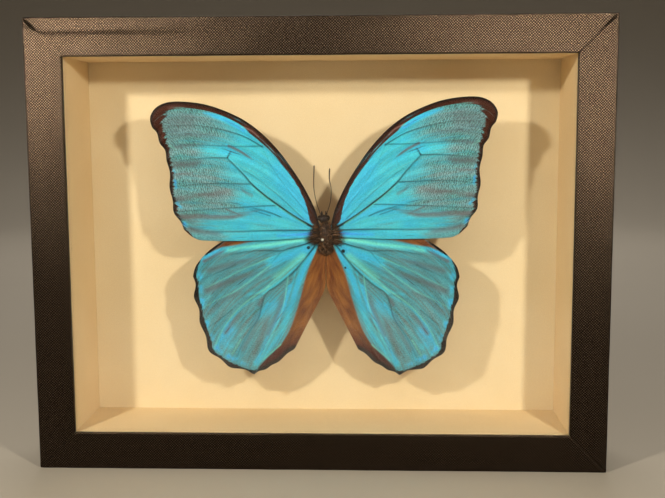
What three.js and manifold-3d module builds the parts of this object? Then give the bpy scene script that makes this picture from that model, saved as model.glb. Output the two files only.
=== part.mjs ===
// Box frame with a spread, pinned butterfly.
//
// A shallow wooden box frame covered in black bookcloth, glazed at the front and lined with white foam board.
// The specimen floats in front of the backing board on one insect pin through its thorax.
// Units are millimetres. Everything is drawn as seen from the front, x to the right, y up and z towards
// the viewer, with z = 0 on the front face and the frame centred on x = y = 0. One group then stands the
// frame upright, front towards -Y, with the origin under the middle of its bottom edge.

import * as THREE from 'three';
import { mergeVertices } from 'three/addons/utils/BufferGeometryUtils.js';
import Module from 'manifold-3d';

const wasm = await Module();
wasm.setup();

// ---- driving dimensions -------------------------------------------------------------------------

const GAP = 0.3;                 // clearance between pieces that touch

const FRAME_W = 235.4;           // outside width
const FRAME_H = 185.2;           // outside height
const FRAME_T = 47;              // outside depth
const RAIL_FACE = 15.4;          // width of a rail's face, from the outside to the opening
const LIP_T = 2;                 // thickness of the lip that holds the glass
const GLASS_T = 2;
const LINER_T = 4.8;             // foam board strips round the cavity
const LINER_SETBACK = 0.25;      // the lip stands this far in front of the liner's inner face
const CAVITY = 39.8;             // from the frame's face back to the backing board
const BACKING_T = 3;
const PANEL_T = 2.5;             // hardboard that closes the back

const SPECIMEN_X = 2;            // the body's axis stands a little right of the middle
const WING_HEIGHT = 21;          // from the backing board to the wing roots
const WING_T = 0.5;
const WING_RISE = 4;             // degrees that the wing tips rise towards the glass
const WING_LEAN = 1.7;           // degrees that the wings' front edges stand nearer the glass
const FOREWING_TURN = 0.66;      // degrees that the forewing pair is turned, right one up
const HINDWING_DROP = 1;         // hindwings lie this far behind the forewings
const FLAP_GAP = 0.2;            // from the body's axis to the hindwings' inner edges

const ANTENNA_R = 0.2;

const PIN_R = 0.3;
const PIN_AT = [-1.2, 2.1];      // where the pin enters the thorax, from the body's axis
const PIN_HEAD_R = 0.7;
const PIN_TOP = 3.4;             // the head's middle, in front of the wing roots
const PIN_BITE = 2.4;            // how deep the pin stands in the backing board

const POINT = { long: 11, wide: 6, thick: 0.6, spread: 60 };    // flat steel points that hold the back panel
const HANGER = { long: 44, tall: 9, thick: 0.8, up: 58 };       // saw-tooth plate, `up` above the middle
const TEETH = { count: 9, span: 28, depth: 1.6 };
const NAIL = { out: 18, radius: 1.1 };                          // hanger nails, `out` from the middle

// ---- derived levels, as distances behind the front face -----------------------------------------

const linerFace = RAIL_FACE - LINER_SETBACK;
const wallT = linerFace - LINER_T - GAP;
const insideW = FRAME_W - 2 * (wallT + GAP);
const insideH = FRAME_H - 2 * (wallT + GAP);
const glassFront = LIP_T + GAP;
const linerFront = glassFront + GLASS_T + GAP;
const panelFront = CAVITY + BACKING_T + GAP;
const panelBack = panelFront + PANEL_T;
const wingRoot = CAVITY - WING_HEIGHT;

// ---- solids -------------------------------------------------------------------------------------

/** A closed three.js geometry as a manifold solid. */
function solid(geometry) {
  const bare = geometry.clone();
  bare.deleteAttribute('normal');
  bare.deleteAttribute('uv');
  const merged = mergeVertices(bare, 1e-5);
  return new wasm.Manifold(new wasm.Mesh({
    numProp: 3,
    vertProperties: merged.attributes.position.array,
    triVerts: new Uint32Array(merged.index.array),
  }));
}

/** A manifold solid as a three.js geometry. */
function geometryOf(body) {
  const mesh = body.getMesh();
  const geometry = new THREE.BufferGeometry();
  geometry.setAttribute('position', new THREE.BufferAttribute(mesh.vertProperties, 3));
  geometry.setIndex(new THREE.BufferAttribute(mesh.triVerts, 1));
  const flat = geometry.toNonIndexed();
  flat.computeVertexNormals();
  return flat;
}

/** A flat outline made into a plate that reaches from `front` to `back`, both measured behind the face. */
function plate(points, front, back) {
  const shape = new THREE.Shape(points);
  const geometry = new THREE.ExtrudeGeometry(shape, { depth: back - front, bevelEnabled: false });
  return geometry.translate(0, 0, -back);
}

/** A rectangle centred on (x, y), as outline points. */
function rectangle(width, height, x = 0, y = 0) {
  const corners = [[-0.5, -0.5], [0.5, -0.5], [0.5, 0.5], [-0.5, 0.5]];
  return corners.map(([i, j]) => new THREE.Vector2(x + i * width, y + j * height));
}

/** A ball stretched to three half axes and moved to a place. */
function ball(radii, place, around = 20, up = 12) {
  return new THREE.SphereGeometry(1, around, up).scale(...radii).translate(...place);
}

const root = new THREE.Group();
root.rotation.x = Math.PI / 2;
root.position.set(0, -FRAME_T / 2, FRAME_H / 2);

/** Adds one named piece, turned about the view axis by `turn`. */
function add(name, geometry, look, turn = 0) {
  const mesh = new THREE.Mesh(geometry, new THREE.MeshStandardMaterial(look));
  mesh.name = name;
  mesh.rotation.z = turn;
  root.add(mesh);
}

const BOOKCLOTH = { color: 0x1d1b1a, roughness: 0.75, metalness: 0 };
const GLASS = { color: 0xf4f8f6, roughness: 0.05, metalness: 0, transparent: true, opacity: 0.2 };
const BOARD = { color: 0xf3e8d2, roughness: 0.8, metalness: 0 };
const HARDBOARD = { color: 0x7a5a3c, roughness: 0.7, metalness: 0 };
const STEEL = { color: 0xb9b7b2, roughness: 0.35, metalness: 1 };
const WING = { color: 0x3fb4cf, roughness: 0.4, metalness: 0.3 };
const BODY = { color: 0x4a3426, roughness: 0.9, metalness: 0 };
const ANTENNA = { color: 0x3a281a, roughness: 0.6, metalness: 0 };

// ---- frame --------------------------------------------------------------------------------------

/** A bar along the top edge with mitred ends, `deep` from the outside in, between two levels. */
function mitredBar(length, out, deep, front, back) {
  const half = length / 2 - GAP / 2 * Math.SQRT2;
  const corners = [[-half, out], [-half + deep, out - deep], [half - deep, out - deep], [half, out]];
  return plate(corners.map(([x, y]) => new THREE.Vector2(x, y)), front, back);
}

/** One rail: a deep wall with a thin lip in front of the glass, both mitred. */
function rail(length, out) {
  const wall = solid(mitredBar(length, out, wallT, 0, FRAME_T));
  const lip = solid(mitredBar(length, out, RAIL_FACE, 0, LIP_T));
  return geometryOf(wall.add(lip));
}

add('rail_top', rail(FRAME_W, FRAME_H / 2), BOOKCLOTH);
add('rail_left', rail(FRAME_H, FRAME_W / 2), BOOKCLOTH, Math.PI / 2);
add('rail_bottom', rail(FRAME_W, FRAME_H / 2), BOOKCLOTH, Math.PI);
add('rail_right', rail(FRAME_H, FRAME_W / 2), BOOKCLOTH, -Math.PI / 2);

add('glass_pane', plate(rectangle(insideW, insideH), glassFront, glassFront + GLASS_T), GLASS);

/** The foam board liner: long strips above and below, short ones fitted between them. */
function liner() {
  const back = CAVITY - GAP;
  const y = (insideH - LINER_T) / 2;
  const x = (insideW - LINER_T) / 2;
  const short = insideH - 2 * (LINER_T + GAP);
  add('liner_top', plate(rectangle(insideW, LINER_T, 0, y), linerFront, back), BOARD);
  add('liner_bottom', plate(rectangle(insideW, LINER_T, 0, -y), linerFront, back), BOARD);
  add('liner_left', plate(rectangle(LINER_T, short, -x, 0), linerFront, back), BOARD);
  add('liner_right', plate(rectangle(LINER_T, short, x, 0), linerFront, back), BOARD);
}
liner();

// ---- specimen -----------------------------------------------------------------------------------

/** The pin's shaft, widened by `room` for the holes that it stands in, from one level to another. */
function pinShaft(room, front, back) {
  const shaft = new THREE.CylinderGeometry(PIN_R + room, PIN_R + room, back - front, 10);
  return shaft.rotateX(Math.PI / 2).translate(SPECIMEN_X + PIN_AT[0], PIN_AT[1], -(front + back) / 2);
}

const pinTop = wingRoot - PIN_TOP;
const pinTip = CAVITY + PIN_BITE;

function mountingPin() {
  const place = [SPECIMEN_X + PIN_AT[0], PIN_AT[1], -pinTop];
  const head = ball([PIN_HEAD_R, PIN_HEAD_R, PIN_HEAD_R], place, 12, 8);
  return geometryOf(solid(pinShaft(0, pinTop, pinTip)).add(solid(head)));
}
add('mounting_pin', mountingPin(), STEEL);

function backingBoard() {
  const board = solid(plate(rectangle(insideW, insideH), CAVITY, CAVITY + BACKING_T));
  return geometryOf(board.subtract(solid(pinShaft(GAP, CAVITY - 1, pinTip + GAP))));
}
add('backing_board', backingBoard(), BOARD);

/** Head, eyes, palps and thorax in one piece, grown by `room` on every side. */
function bodySolid(room) {
  const at = (x, y, z) => [SPECIMEN_X + x, y, z - wingRoot];
  const grown = (...radii) => radii.map((r) => r + room);
  let body = solid(ball(grown(3, 7.2, 3.4), at(0, 2.2, -0.8), 24, 16));
  body = body.add(solid(ball(grown(2.3, 2, 2), at(-0.8, 10.4, -1.2))));
  for (const side of [-1, 1]) {
    body = body.add(solid(ball(grown(1, 1.2, 1.2), at(-0.8 + side * 1.7, 10.8, -1), 12, 8)));
    body = body.add(solid(ball(grown(0.5, 1.5, 0.6), at(-0.8 + side * 0.9, 12.2, -1.6), 10, 8)));
  }
  return body;
}

function body() {
  const hole = solid(pinShaft(GAP, pinTop - 2, CAVITY));
  return geometryOf(bodySolid(0).subtract(hole));
}
add('body', body(), BODY);

/** Points of a smooth curve through [x, y] pairs. */
function through(pairs, perSpan = 4) {
  const curve = new THREE.SplineCurve(pairs.map(([x, y]) => new THREE.Vector2(x, y)));
  return curve.getPoints((pairs.length - 1) * perSpan);
}

/** A wing margin through the ends of its veins, drawn in between them by a scallop of that depth. */
function scalloped(veinEnds, depth, perSpan = 6) {
  const curve = new THREE.SplineCurve(veinEnds.map(([x, y]) => new THREE.Vector2(x, y)));
  const steps = (veinEnds.length - 1) * perSpan;
  return Array.from({ length: steps + 1 }, (_, i) => {
    const dip = depth * Math.sin(Math.PI * i / perSpan) ** 2;
    const along = curve.getTangent(i / steps);
    return curve.getPoint(i / steps).add(new THREE.Vector2(along.y, -along.x).multiplyScalar(dip));
  });
}

/** Outline of a forewing, right side: front edge from the body to the tip, margin, then back to the root. */
function forewingOutline() {
  const front = [[2.4, 8], [4.4, 15.2], [8.7, 24.2], [13.9, 32.6], [20, 40.9], [27.4, 48.4], [36, 54.2],
    [48.4, 59], [61, 60.5], [68, 58.7], [71.3, 54.4], [70.7, 50.2]];
  const veinEnds = [[70.7, 50.2], [67.9, 43.8], [65.3, 36.3], [64.6, 24.8], [63.3, 14.8], [59.2, 7.3]];
  const back = [[59.2, 7.3], [55, 3.7], [49, 2.4], [28, 2], [6, 2.9], [2.4, 3.8]];
  return [...through(front), ...scalloped(veinEnds, 0.7).slice(1), ...through(back).slice(1)];
}

/** Outline of a hindwing, right side: front edge from the root outwards, margin, then up the inner edge. */
function hindwingOutline() {
  const front = [[FLAP_GAP, 4], [12, 6.4], [28, 6.2], [39, 3.4], [48, -1.6], [54.4, -8.2], [56.3, -13.4]];
  const outer = [[56.3, -13.4], [56.1, -22.5], [53.8, -33.8], [50.2, -46], [41.4, -53.3], [31.2, -56.6]];
  const lower = [[31.2, -56.6], [20.4, -51.2], [13.6, -45.4]];
  const inner = [[13.6, -45.4], [9.6, -37.6], [6.2, -31], [2.6, -23.4], [0.8, -18], [FLAP_GAP, -12],
    [FLAP_GAP, 4]];
  return [...through(front), ...scalloped(outer, 1.1).slice(1), ...scalloped(lower, 0.5).slice(1),
    ...through(inner).slice(1, -1)];
}

/** A thin wing, set at its angles, with the body's place cut out of it. */
function wing(outline, side, drop, turn) {
  const points = outline.map((p) => new THREE.Vector2(side * p.x, p.y));
  const flat = plate(points, drop - WING_T / 2, drop + WING_T / 2);
  const degrees = Math.PI / 180;
  const angles = new THREE.Euler(WING_LEAN * degrees, -side * WING_RISE * degrees, turn * degrees);
  const place = new THREE.Vector3(SPECIMEN_X, 0, -wingRoot);
  const set = new THREE.Matrix4().makeRotationFromEuler(angles).setPosition(place);
  return geometryOf(solid(flat.applyMatrix4(set)).subtract(bodySolid(GAP)));
}

add('hindwing_left', wing(hindwingOutline(), -1, HINDWING_DROP, 0), WING);
add('hindwing_right', wing(hindwingOutline(), 1, HINDWING_DROP, 0), WING);
add('forewing_left', wing(forewingOutline(), -1, 0, FOREWING_TURN), WING);
add('forewing_right', wing(forewingOutline(), 1, 0, FOREWING_TURN), WING);

/** A feeler: a thin rod swept along its bends, starting just clear of the head. */
function antenna(bends) {
  const corners = Array.from({ length: 6 }, (_, i) => i * Math.PI / 3);
  const ring = corners.map((a) => new THREE.Vector2(ANTENNA_R * Math.cos(a), ANTENNA_R * Math.sin(a)));
  const section = new THREE.Shape(ring);
  const spots = bends.map(([x, y, z]) => new THREE.Vector3(SPECIMEN_X + x, y, z - wingRoot));
  const path = new THREE.CatmullRomCurve3(spots);
  return new THREE.ExtrudeGeometry(section, { steps: 14, extrudePath: path, bevelEnabled: false });
}
add('antenna_left', antenna([[-2.6, 13.6, -0.8], [-4, 18.6, 0.6], [-4.8, 24.6, 1.6],
  [-4.5, 33.2, 2.4]]), ANTENNA);
add('antenna_right', antenna([[0.9, 13.9, -0.8], [2.1, 17.9, 0.4], [2.5, 23.1, 1.4], [1.8, 27.2, 2],
  [1.9, 31.9, 2.4]]), ANTENNA);

// ---- back ---------------------------------------------------------------------------------------

add('back_panel', plate(rectangle(insideW, insideH), panelFront, panelBack), HARDBOARD);

/** Flat steel points that stand in the rails and hold the back panel. */
function framerPoints() {
  const front = panelBack + GAP;
  const across = (insideW - POINT.long) / 2;
  const upright = (insideH - POINT.long) / 2;
  const point = (name, x, y, width, height) => {
    add(`framer_point_${name}`, plate(rectangle(width, height, x, y), front, front + POINT.thick), STEEL);
  };
  for (const [side, i] of [['left', -1], ['right', 1]]) {
    point(`top_${side}`, i * POINT.spread, upright, POINT.wide, POINT.long);
    point(`bottom_${side}`, i * POINT.spread, -upright, POINT.wide, POINT.long);
    point(side, i * across, 0, POINT.long, POINT.wide);
  }
}
framerPoints();

/** A strip whose lower edge is cut into teeth, as outline points. */
function sawToothOutline() {
  const low = HANGER.up - HANGER.tall / 2;
  const high = HANGER.up + HANGER.tall / 2;
  const pitch = TEETH.span / TEETH.count;
  const points = [[-HANGER.long / 2, low]];
  for (let i = 0; i < TEETH.count; i += 1) {
    const x = -TEETH.span / 2 + i * pitch;
    points.push([x, low], [x + pitch / 2, low + TEETH.depth]);
  }
  points.push([TEETH.span / 2, low], [HANGER.long / 2, low]);
  points.push([HANGER.long / 2, high], [-HANGER.long / 2, high]);
  return points.map(([x, y]) => new THREE.Vector2(x, y));
}

/** A saw-tooth hanger plate near the top of the back panel, with a nail through each end. */
function hanger() {
  const front = panelBack + GAP;
  const middle = front + HANGER.thick / 2;
  const nail = (x, room) => {
    const radius = NAIL.radius + room;
    const shank = new THREE.CylinderGeometry(radius, radius, HANGER.thick + 2 * room, 12);
    return shank.rotateX(Math.PI / 2).translate(x, HANGER.up, -middle);
  };
  let strip = solid(plate(sawToothOutline(), front, front + HANGER.thick));
  for (const [side, i] of [['left', -1], ['right', 1]]) {
    strip = strip.subtract(solid(nail(i * NAIL.out, GAP)));
    add(`hanger_nail_${side}`, nail(i * NAIL.out, 0), STEEL);
  }
  add('hanger_plate', geometryOf(strip), STEEL);
}
hanger();

export default root;
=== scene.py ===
"""Looks of the framed butterfly: a cloth-covered box frame with a spread blue butterfly on a pin.

Shapes are drawn as seen from the front in millimetres: x to the right, y up and z towards the viewer,
with z = 0 on the frame's face and x = y = 0 in its middle. to_row() brings them into the model's frame
in metres.
"""
import math

import bpy
import numpy as np
from mathutils import Matrix, Vector


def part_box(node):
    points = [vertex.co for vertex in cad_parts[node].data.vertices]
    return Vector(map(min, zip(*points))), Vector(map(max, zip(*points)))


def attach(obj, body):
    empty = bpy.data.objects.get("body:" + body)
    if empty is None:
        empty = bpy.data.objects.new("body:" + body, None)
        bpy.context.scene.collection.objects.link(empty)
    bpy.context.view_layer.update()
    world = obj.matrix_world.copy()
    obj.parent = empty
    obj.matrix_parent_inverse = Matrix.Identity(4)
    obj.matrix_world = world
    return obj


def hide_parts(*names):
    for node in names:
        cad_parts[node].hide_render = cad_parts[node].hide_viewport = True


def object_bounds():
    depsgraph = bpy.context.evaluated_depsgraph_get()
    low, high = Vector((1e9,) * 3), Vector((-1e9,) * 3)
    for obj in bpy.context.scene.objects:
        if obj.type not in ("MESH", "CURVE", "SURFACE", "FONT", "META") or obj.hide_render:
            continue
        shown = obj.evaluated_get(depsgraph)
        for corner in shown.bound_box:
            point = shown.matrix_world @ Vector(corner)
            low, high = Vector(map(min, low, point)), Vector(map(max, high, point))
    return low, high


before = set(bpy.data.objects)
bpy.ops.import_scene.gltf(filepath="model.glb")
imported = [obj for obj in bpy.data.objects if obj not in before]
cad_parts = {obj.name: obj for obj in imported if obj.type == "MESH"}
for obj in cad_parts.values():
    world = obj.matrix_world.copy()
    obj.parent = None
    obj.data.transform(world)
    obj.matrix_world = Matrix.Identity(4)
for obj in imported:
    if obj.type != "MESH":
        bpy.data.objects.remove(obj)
cad_low, cad_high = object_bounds()

# ---- rails ---------------------------------------------------------------------------------------
# Four wooden bars with a thin lip in front of the glass, mitred at the corners. Black bookcloth, a
# plain-woven cotton filled with paint, is glued round them and folded over at the corners. Its arrises
# are soft, each mitre shows as a crease, and the threads catch the light.

MM = 1000.0
FRAME_W, FRAME_T, FRAME_H = (MM * side for side in cad_high - cad_low)
pane_low, pane_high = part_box("glass_pane")
rail_low, rail_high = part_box("rail_top")
GAP = 0.3                                             # clearance that the solids keep
RAIL_FACE = MM * (rail_high.z - rail_low.z)
WALL_T = (FRAME_W - MM * (pane_high.x - pane_low.x)) / 2 - GAP       # thickness of a bar beside the glass
LIP_T = MM * (pane_low.y - cad_low.y) - GAP           # thickness of its lip in front of the glass
ARRIS_R, LIP_R, HIDDEN_R = 0.5, 0.5, 0.3              # radii of the rail's edges
BAR_RINGS = 141                                       # outlines along one bar
TURN_IN, TURN_IN_T = 5.9, 0.3                         # width and thickness of a turn-in on the top rail
TURN_IN_END = (-85, -35)                              # it thins out between these places along the rail
CREASE, FOLD = 0.12, 0.2                              # depth of a mitre's crease, height of a fold
DEEPER, DEEPER_END = 2.4, (4.4, 5.4)                  # of the top left crease: factor, insets of its end
MITRE_GAP = 0.02                                      # between two bars of cloth
WAVE = 0.016                                          # height of each of three faint waves in the cloth
THREAD_PITCH = 0.55                                   # a little coarser than the real 0.4, so that it shows


def to_row(points):
    """Front-view millimetres to the model's frame in metres: x stays, y is up, and z comes forward."""
    x, y, z = np.moveaxis(np.asarray(points, float), -1, 0)
    middle = MM * (cad_low.z + cad_high.z) / 2
    return np.stack([x, MM * cad_low.y - z, y + middle], -1) / MM


def colour(code):
    """Linear colour of an sRGB hex code."""
    part = np.array([int(code[i:i + 2], 16) for i in (1, 3, 5)]) / 255
    return (*np.where(part <= 0.04045, part / 12.92, ((part + 0.055) / 1.055) ** 2.4), 1.0)


def connect(tree, made, links):
    """Gives a node's inputs a value, a hex colour, a socket, or another node's first working output."""
    for name, value in links.items():
        if isinstance(value, bpy.types.Node):
            value = next(output for output in value.outputs if output.enabled)
        if isinstance(value, bpy.types.NodeSocket):
            tree.links.new(value, made.inputs[name])
        else:
            made.inputs[name].default_value = colour(value) if isinstance(value, str) else value


def node(tree, kind, links=None, **settings):
    """Adds a shader node. Settings are its properties, and links say what goes into its inputs. In a mix
    of colours, input 0 is the share of the second one, and 6 and 7 are the two colours."""
    made = tree.nodes.new("ShaderNode" + kind)
    for name, value in settings.items():
        setattr(made, name, value)
    connect(tree, made, links or {})
    return made


def new_finish(name, **values):
    """A material with one principled shader. Values are its inputs by name, with _ for a space."""
    made = bpy.data.materials.new(name)
    made.use_nodes = True
    tree = made.node_tree
    tree.nodes.clear()
    shader = node(tree, "BsdfPrincipled", {key.replace("_", " "): value for key, value in values.items()})
    node(tree, "OutputMaterial", {"Surface": shader})
    return made, tree, shader


def grid_faces(rows, columns, closed):
    """Quads between neighbours on a grid. A closed grid joins its last column to its first."""
    row, column = np.meshgrid(np.arange(rows - 1), np.arange(columns - (not closed)), indexing="ij")
    a, b = row * columns + column, row * columns + (column + 1) % columns
    return np.stack([a, b, b + columns, a + columns], -1).reshape(-1, 4)


def add_piece(name, points, faces, finishes, slot, stands_for=(), uv=None):
    """A smooth mesh from front-view points and arrays of faces. Its faces are turned outwards: the sum
    of the volumes between the origin and every triangle of a closed surface is positive if they already
    are."""
    place = to_row(points)
    spans = [(f, i) for f in faces for i in range(1, f.shape[1] - 1)]
    volume = sum(np.sum(place[f[:, 0]] * np.cross(place[f[:, i]], place[f[:, i + 1]])) for f, i in spans)
    if volume < 0:
        faces = [f[:, ::-1] for f in faces]
    mesh = bpy.data.meshes.new(name)
    mesh.from_pydata(place.tolist(), [], [face for f in faces for face in f.tolist()])
    mesh.polygons.foreach_set("use_smooth", np.ones(len(mesh.polygons), bool))
    if uv is not None:
        corners = np.empty(len(mesh.loops), np.int32)
        mesh.loops.foreach_get("vertex_index", corners)
        mesh.uv_layers.new(name="UVMap").data.foreach_set("uv", uv[corners].astype(np.float32).ravel())
    for finish in finishes:
        mesh.materials.append(finish)
    made = bpy.data.objects.new(name, mesh)
    bpy.context.scene.collection.objects.link(made)
    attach(made, "root")
    if stands_for:
        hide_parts(*stands_for)
    return made


def rounded_outline(corners, step):
    """A closed right-angled outline through (x, y, radius) corners. Each corner is a quarter circle: the
    corner less the way in times 1 - sin, plus the way out times 1 - cos. The straights are cut to
    steps."""
    spots = np.array([c[:2] for c in corners], float)
    angle = np.linspace(0, math.pi / 2, 7)[:, None]
    ends = []
    for i, (_, _, radius) in enumerate(corners):
        way_in = spots[i] - spots[i - 1]
        way_out = spots[(i + 1) % len(spots)] - spots[i]
        way_in, way_out = (way / np.linalg.norm(way) for way in (way_in, way_out))
        ends.append(spots[i] + radius * (way_out * (1 - np.cos(angle)) - way_in * (1 - np.sin(angle))))
    line = []
    for arc, following in zip(ends, ends[1:] + ends[:1]):
        straight = following[0] - arc[-1]
        count = max(2, math.ceil(np.linalg.norm(straight) / step))
        line += [arc, arc[-1] + straight * np.linspace(0, 1, count, endpoint=False)[1:, None]]
    return np.concatenate(line)


def unit(ways):
    """Each way at length 1."""
    return ways / np.linalg.norm(ways, axis=1)[:, None]


def distances(line):
    """How far along a polyline each of its points is."""
    return np.r_[0, np.cumsum(np.linalg.norm(np.diff(line, axis=0), axis=1))]


def bar(name, half, out, outline, turn, mitred, relief, finish, slot, stands_for):
    """A bar along the top edge, turned to its side. Its outline, (inset from the outside, depth behind
    the face), is carried from one end to the other. Where it is mitred, each point stops short of the
    end by its inset."""
    inset, depth = outline.T
    share = np.linspace(-1, 1, BAR_RINGS)
    share = np.sign(share) * (1 - (1 - np.abs(share)) ** 1.6)        # closer together towards the ends
    along = share[:, None] * (half - mitred * inset)
    way = unit(np.roll(outline, -1, 0) - np.roll(outline, 1, 0))
    run = distances(outline)
    swell = relief(along, half - mitred * inset - np.abs(along), inset, depth, run)
    x = along
    y = out - (inset + swell * way[:, 1])
    z = -(depth - swell * way[:, 0])
    cos, sin = math.cos(turn), math.sin(turn)
    points = np.stack([x * cos - y * sin, x * sin + y * cos, z], -1).reshape(-1, 3)
    columns = len(outline)
    ends = np.arange(columns)
    faces = [grid_faces(BAR_RINGS, columns, True), ends[None, ::-1],
             ends[None] + (BAR_RINGS - 1) * columns]
    uv = np.stack([along, np.broadcast_to(run, along.shape)], -1).reshape(-1, 2)
    return add_piece(name, points, faces, [finish], slot, stands_for, uv)


def bookcloth():
    """Plain weave: threads go over and under by turns, so the knots are where the sines of both thread
    directions have the same sign. Light catches the knots, and the filled hollows between them stay
    black."""
    made, tree, shader = new_finish("black_bookcloth", IOR=1.8, Specular_Tint="#FFDCC0")
    flat = node(tree, "TexCoord").outputs["UV"]
    slub = node(tree, "TexNoise", {"Vector": flat, "Scale": 0.45, "Detail": 3.0})
    scaled = node(tree, "VectorMath", {0: flat, "Scale": math.pi / THREAD_PITCH}, operation="SCALE")
    bent = node(tree, "VectorMath", {0: slub.outputs["Color"], 1: (5.0, 5.0, 0), 2: scaled},
                operation="MULTIPLY_ADD")
    apart = node(tree, "SeparateXYZ", {0: bent})
    warp = node(tree, "Math", {0: apart}, operation="SINE")
    weft = node(tree, "Math", {0: apart.outputs[1]}, operation="SINE")
    knots = node(tree, "Math", {0: warp, 1: weft}, operation="MULTIPLY")
    lit = node(tree, "MapRange", {"Value": knots, "From Min": 0.0, "From Max": 0.85})
    patchy = node(tree, "TexNoise", {"Vector": flat, "Scale": 1.1, "Detail": 5.0, "Roughness": 0.75})
    uneven = node(tree, "MapRange", {"Value": patchy, "From Min": 0.3, "From Max": 0.65})
    worn = node(tree, "Math", {0: lit, 1: uneven}, operation="MULTIPLY")
    shade = node(tree, "Mix", {0: worn, 6: "#010100", 7: "#080604"}, data_type="RGBA")
    rough = node(tree, "MapRange", {"Value": lit, "To Min": 0.36, "To Max": 0.28})
    gloss = node(tree, "MapRange", {"Value": worn, "From Max": 0.8, "To Min": 0.03, "To Max": 1.0})
    bump = node(tree, "Bump", {"Height": knots, "Distance": 0.00004, "Strength": 1.0})
    connect(tree, shader, {"Specular IOR Level": gloss, "Base Color": shade,
                           "Roughness": rough, "Normal": bump})
    return made


def smooth(value, low, high):
    """0 below low and 1 above high, with the s-shaped curve 3t^2 - 2t^3 between."""
    t = np.clip((value - low) / (high - low), 0, 1)
    return t * t * (3 - 2 * t)


def cloth_relief(name):
    """Height of the cloth over the wood. It waves faintly, dips in a crease at the mitres, and stands up
    where it is folded over at the outer corners. At the top left a turn-in lies over the top rail, one
    layer thick, and thins out along it, and there the crease is deeper and stops short of the turn-in's
    edge."""
    def relief(along, to_mitre, inset, depth, run):
        seed = len(name)
        waves = np.sin(along / 7 + seed) + np.sin(along / 3.1 + run / 4) + np.sin(run / 2.3 + along / 11)
        on_face = np.exp(-(depth / 0.8) ** 2)
        crease = -CREASE * np.exp(-(to_mitre / 0.45) ** 2) * on_face
        fold = FOLD * np.exp(-((to_mitre - 1.5) / 0.9) ** 2 - ((inset - 2.4) / 1.8) ** 2) * on_face
        if name in ("rail_top", "rail_left"):
            flap = (along < 0) == (name == "rail_top")
            crease = crease * np.where(flap, DEEPER - DEEPER * smooth(inset, *DEEPER_END), 1)
        swell = WAVE * (waves - 3) + crease + fold
        if name == "rail_top":
            layer = 1 - smooth(inset, TURN_IN - 0.6, TURN_IN + 0.7)
            fade = 1 - smooth(along, *TURN_IN_END)
            swell = swell + TURN_IN_T * layer * fade * on_face
        return swell
    return relief


rail_outline = rounded_outline([
    (WALL_T, FRAME_T, HIDDEN_R), (0, FRAME_T, HIDDEN_R), (0, 0, ARRIS_R), (RAIL_FACE, 0, LIP_R),
    (RAIL_FACE, LIP_T, HIDDEN_R), (WALL_T, LIP_T, HIDDEN_R)], 0.9)
cloth = bookcloth()
for rail, length, reach, quarter in (
        ("rail_top", FRAME_W, FRAME_H, 0), ("rail_left", FRAME_H, FRAME_W, 1),
        ("rail_bottom", FRAME_W, FRAME_H, 2), ("rail_right", FRAME_H, FRAME_W, 3)):
    bar("cloth_" + rail, length / 2 - MITRE_GAP, reach / 2, rail_outline, quarter * math.pi / 2, True,
        cloth_relief(rail), cloth, "bookcloth", [rail])

# ---- glass ---------------------------------------------------------------------------------------
# One pane of 2 mm float glass, cut to lie behind the lip. It is clear and flat, and a little dust and
# faint smears show only where it shines.


def float_glass():
    """Soda-lime glass: full transmission at IOR 1.52, with smears as faint changes of roughness."""
    made, tree, shader = new_finish("float_glass", Base_Color="#FDFFFE", Transmission_Weight=1.0, IOR=1.52)
    place = node(tree, "TexCoord").outputs["Object"]
    smear = node(tree, "TexNoise", {"Vector": place, "Scale": 45.0, "Detail": 4.0})
    rough = node(tree, "MapRange", {"Value": smear, "From Min": 0.45, "From Max": 0.8,
                                    "To Min": 0.0, "To Max": 0.03})
    connect(tree, shader, {"Roughness": rough})
    return made


def refinish(node_name, finish):
    """Gives its finish to a CAD solid that is shown as it is."""
    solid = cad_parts[node_name]
    solid.data.materials.clear()
    solid.data.materials.append(finish)
    return solid


glass = refinish("glass_pane", float_glass())
glass.visible_shadow = False                          # light passes the pane unbent on its way in and out
glass.visible_diffuse = False

# ---- liner ---------------------------------------------------------------------------------------
# White foam board, cut in strips, stands round the cavity and keeps the glass off the specimen. The long
# strips lie above and below, and the short ones are pushed in between them. The board's paper face has
# aged to cream. The strips are tinted a little darker than the backing board, the same board, as painted
# shade on the cavity's walls.

LINER_T = MM * (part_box("liner_left")[1].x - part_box("liner_left")[0].x)
LINER_FRONT = MM * (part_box("liner_top")[0].y - cad_low.y)
CAVITY = MM * (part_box("backing_board")[0].y - cad_low.y)            # from the frame's face to the board
INSIDE_W, INSIDE_H = FRAME_W - 2 * (WALL_T + GAP), FRAME_H - 2 * (WALL_T + GAP)
SHORT_HALF = INSIDE_H / 2 - LINER_T + 0.1             # of a short strip, pushed a little into the long ones


def paper_board(name, tint):
    """Coated paper over foam: matt, with faint clouds of tone some 3 cm wide and a fine paper grain."""
    made, tree, shader = new_finish(name, Roughness=0.75, Specular_IOR_Level=0.05)
    place = node(tree, "TexCoord").outputs["Object"]
    cloud = node(tree, "TexNoise", {"Vector": place, "Scale": 35.0, "Detail": 3.0})
    grain = node(tree, "TexNoise", {"Vector": place, "Scale": 1600.0, "Detail": 4.0})
    both = node(tree, "Math", {0: cloud, 1: grain}, operation="ADD")
    tone = node(tree, "MapRange", {"Value": both, "From Min": 0.6, "From Max": 1.4})
    shade = node(tree, "Mix", {0: tone, 6: tint[0], 7: tint[1]}, data_type="RGBA")
    bump = node(tree, "Bump", {"Height": grain, "Distance": 0.00003, "Strength": 0.5})
    connect(tree, shader, {"Base Color": shade, "Normal": bump})
    return made


def liner_relief(along, to_end, inset, depth, run):
    """Foam board is never quite flat: its inner face bows in and out by a tenth of a millimetre."""
    return 0.06 * np.sin(along / 23 + inset) + 0.04 * np.sin(depth / 9 + along / 41)


# painted shade: the strips are the backing's board, tinted darker to stand in for the shade on the walls
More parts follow.
